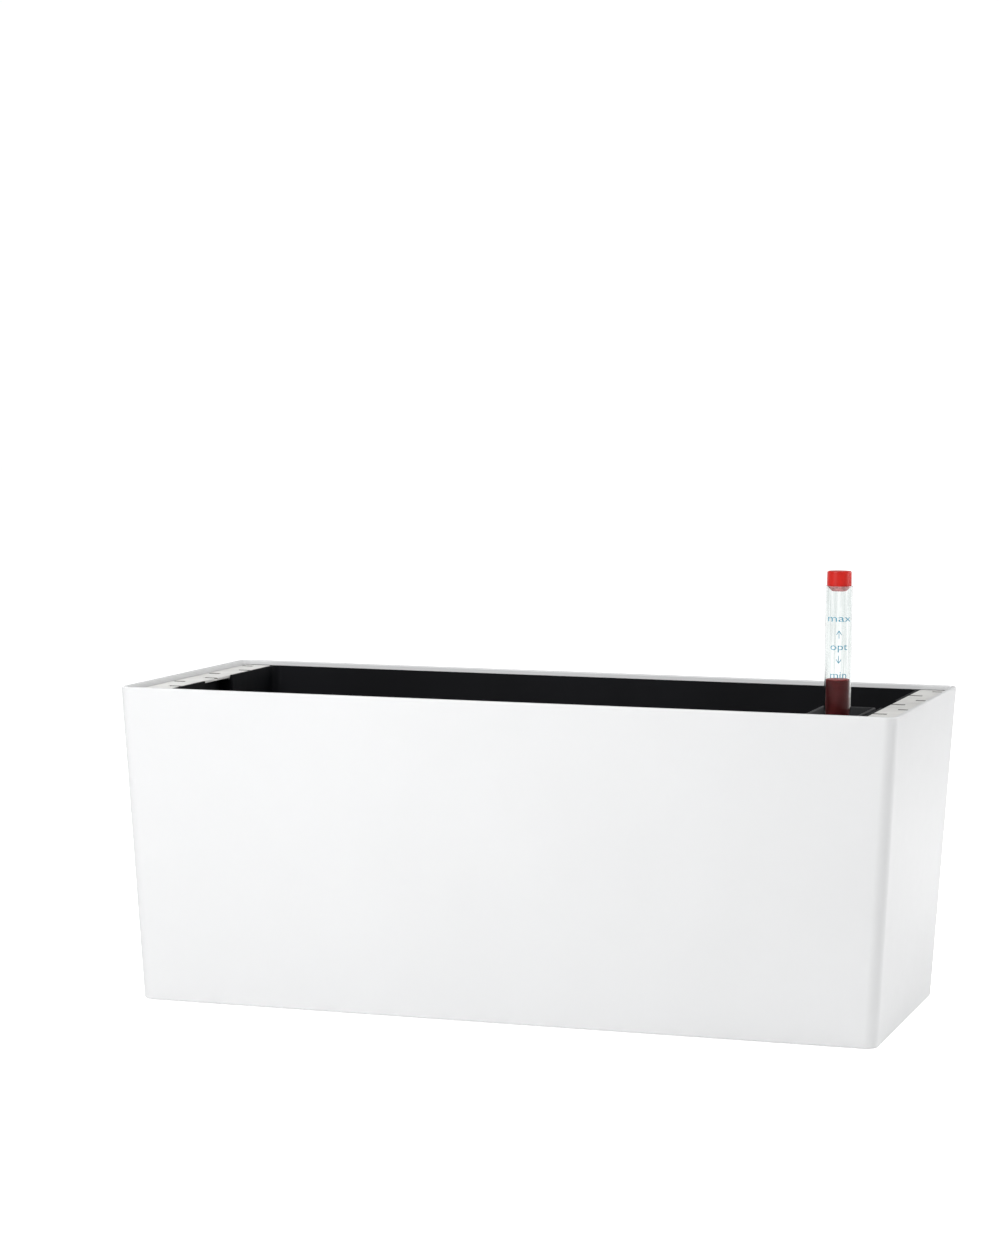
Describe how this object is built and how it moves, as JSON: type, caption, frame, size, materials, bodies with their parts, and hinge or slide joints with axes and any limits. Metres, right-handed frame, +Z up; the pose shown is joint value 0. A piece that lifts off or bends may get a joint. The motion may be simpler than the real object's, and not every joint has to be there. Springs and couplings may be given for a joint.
{
  "type": "self-watering planter",
  "caption": "Tapered rectangular cover pot with a lift-out liner, pull-up end handles, a wicking separator over a water reservoir, a filler shaft and a float level gauge.",
  "frame": {"origin": "centre of the footprint, on the surface that the planter stands on", "axes": "+X along the length towards the end with the level gauge, +Z up, and the front face towards -Y"},
  "size_m": [0.5, 0.214, 0.2851],
  "materials": {
    "shell_white": "satin",
    "liner_black": "fine grain",
    "handle_grey": "fine grain",
    "clear_plastic": "clear",
    "cap_red": "satin",
    "float_maroon": "satin",
    "foam_white": "foam",
    "rubber_grey": "matte"
  },
  "bodies": {
    "cover_pot": {"outer_shell": "shell_white", "foot_pad_front_left": "rubber_grey", "foot_pad_front_right": "rubber_grey", "foot_pad_rear_left": "rubber_grey", "foot_pad_rear_right": "rubber_grey"},
    "shell_plug": {"shell_drain_plug": "liner_black", "shell_drain_washer": "rubber_grey"},
    "liner": {"inner_liner": "liner_black"},
    "liner_plug": {"liner_drain_plug": "rubber_grey"},
    "left_handle": {"left_lift_handle": "handle_grey"},
    "right_handle": {"right_lift_handle": "handle_grey"},
    "separator": {"separator_plate": "liner_black", "filler_shaft": "liner_black"},
    "basket_left": {"wick_basket_left": "liner_black"},
    "basket_centre": {"wick_basket_centre": "liner_black"},
    "basket_right": {"wick_basket_right": "liner_black"},
    "gauge": {"gauge_chamber": "liner_black", "gauge_tube": "clear_plastic"},
    "cap": {"gauge_cap": "cap_red"},
    "float": {"float_column": "float_maroon", "float_bulb": "foam_white"}
  },
  "joints": [
    {"name": "liner_lift", "type": "slide", "parent": "cover_pot", "child": "liner", "axis": [0, 0, 1], "range_m": [0, 0.2]},
    {"name": "shell_plug_turn", "type": "hinge", "parent": "cover_pot", "child": "shell_plug", "pos_m": [0, 0, 0.003], "axis": [0, 0, 1], "range_deg": [0, 90]},
    {"name": "liner_plug_pull", "type": "slide", "parent": "liner", "child": "liner_plug", "axis": [0, 0, 1], "range_m": [0, 0.02]},
    {"name": "left_handle_pull", "type": "slide", "parent": "liner", "child": "left_handle", "axis": [0, 0, 1], "range_m": [0, 0.06]},
    {"name": "right_handle_pull", "type": "slide", "parent": "liner", "child": "right_handle", "axis": [0, 0, 1], "range_m": [0, 0.06]},
    {"name": "separator_lift", "type": "slide", "parent": "liner", "child": "separator", "axis": [0, 0, 1], "range_m": [0, 0.19]},
    {"name": "basket_left_lift", "type": "slide", "parent": "separator", "child": "basket_left", "axis": [0, 0, 1], "range_m": [0, 0.055]},
    {"name": "basket_centre_lift", "type": "slide", "parent": "separator", "child": "basket_centre", "axis": [0, 0, 1], "range_m": [0, 0.055]},
    {"name": "basket_right_lift", "type": "slide", "parent": "separator", "child": "basket_right", "axis": [0, 0, 1], "range_m": [0, 0.055]},
    {"name": "gauge_lift", "type": "slide", "parent": "separator", "child": "gauge", "axis": [0, 0, 1], "range_m": [0, 0.19]},
    {"name": "cap_pull", "type": "slide", "parent": "gauge", "child": "cap", "axis": [0, 0, 1], "range_m": [0, 0.012]},
    {"name": "float_rise", "type": "slide", "parent": "gauge", "child": "float", "axis": [0, 0, 1], "range_m": [0, 0.0345]}
  ]
}
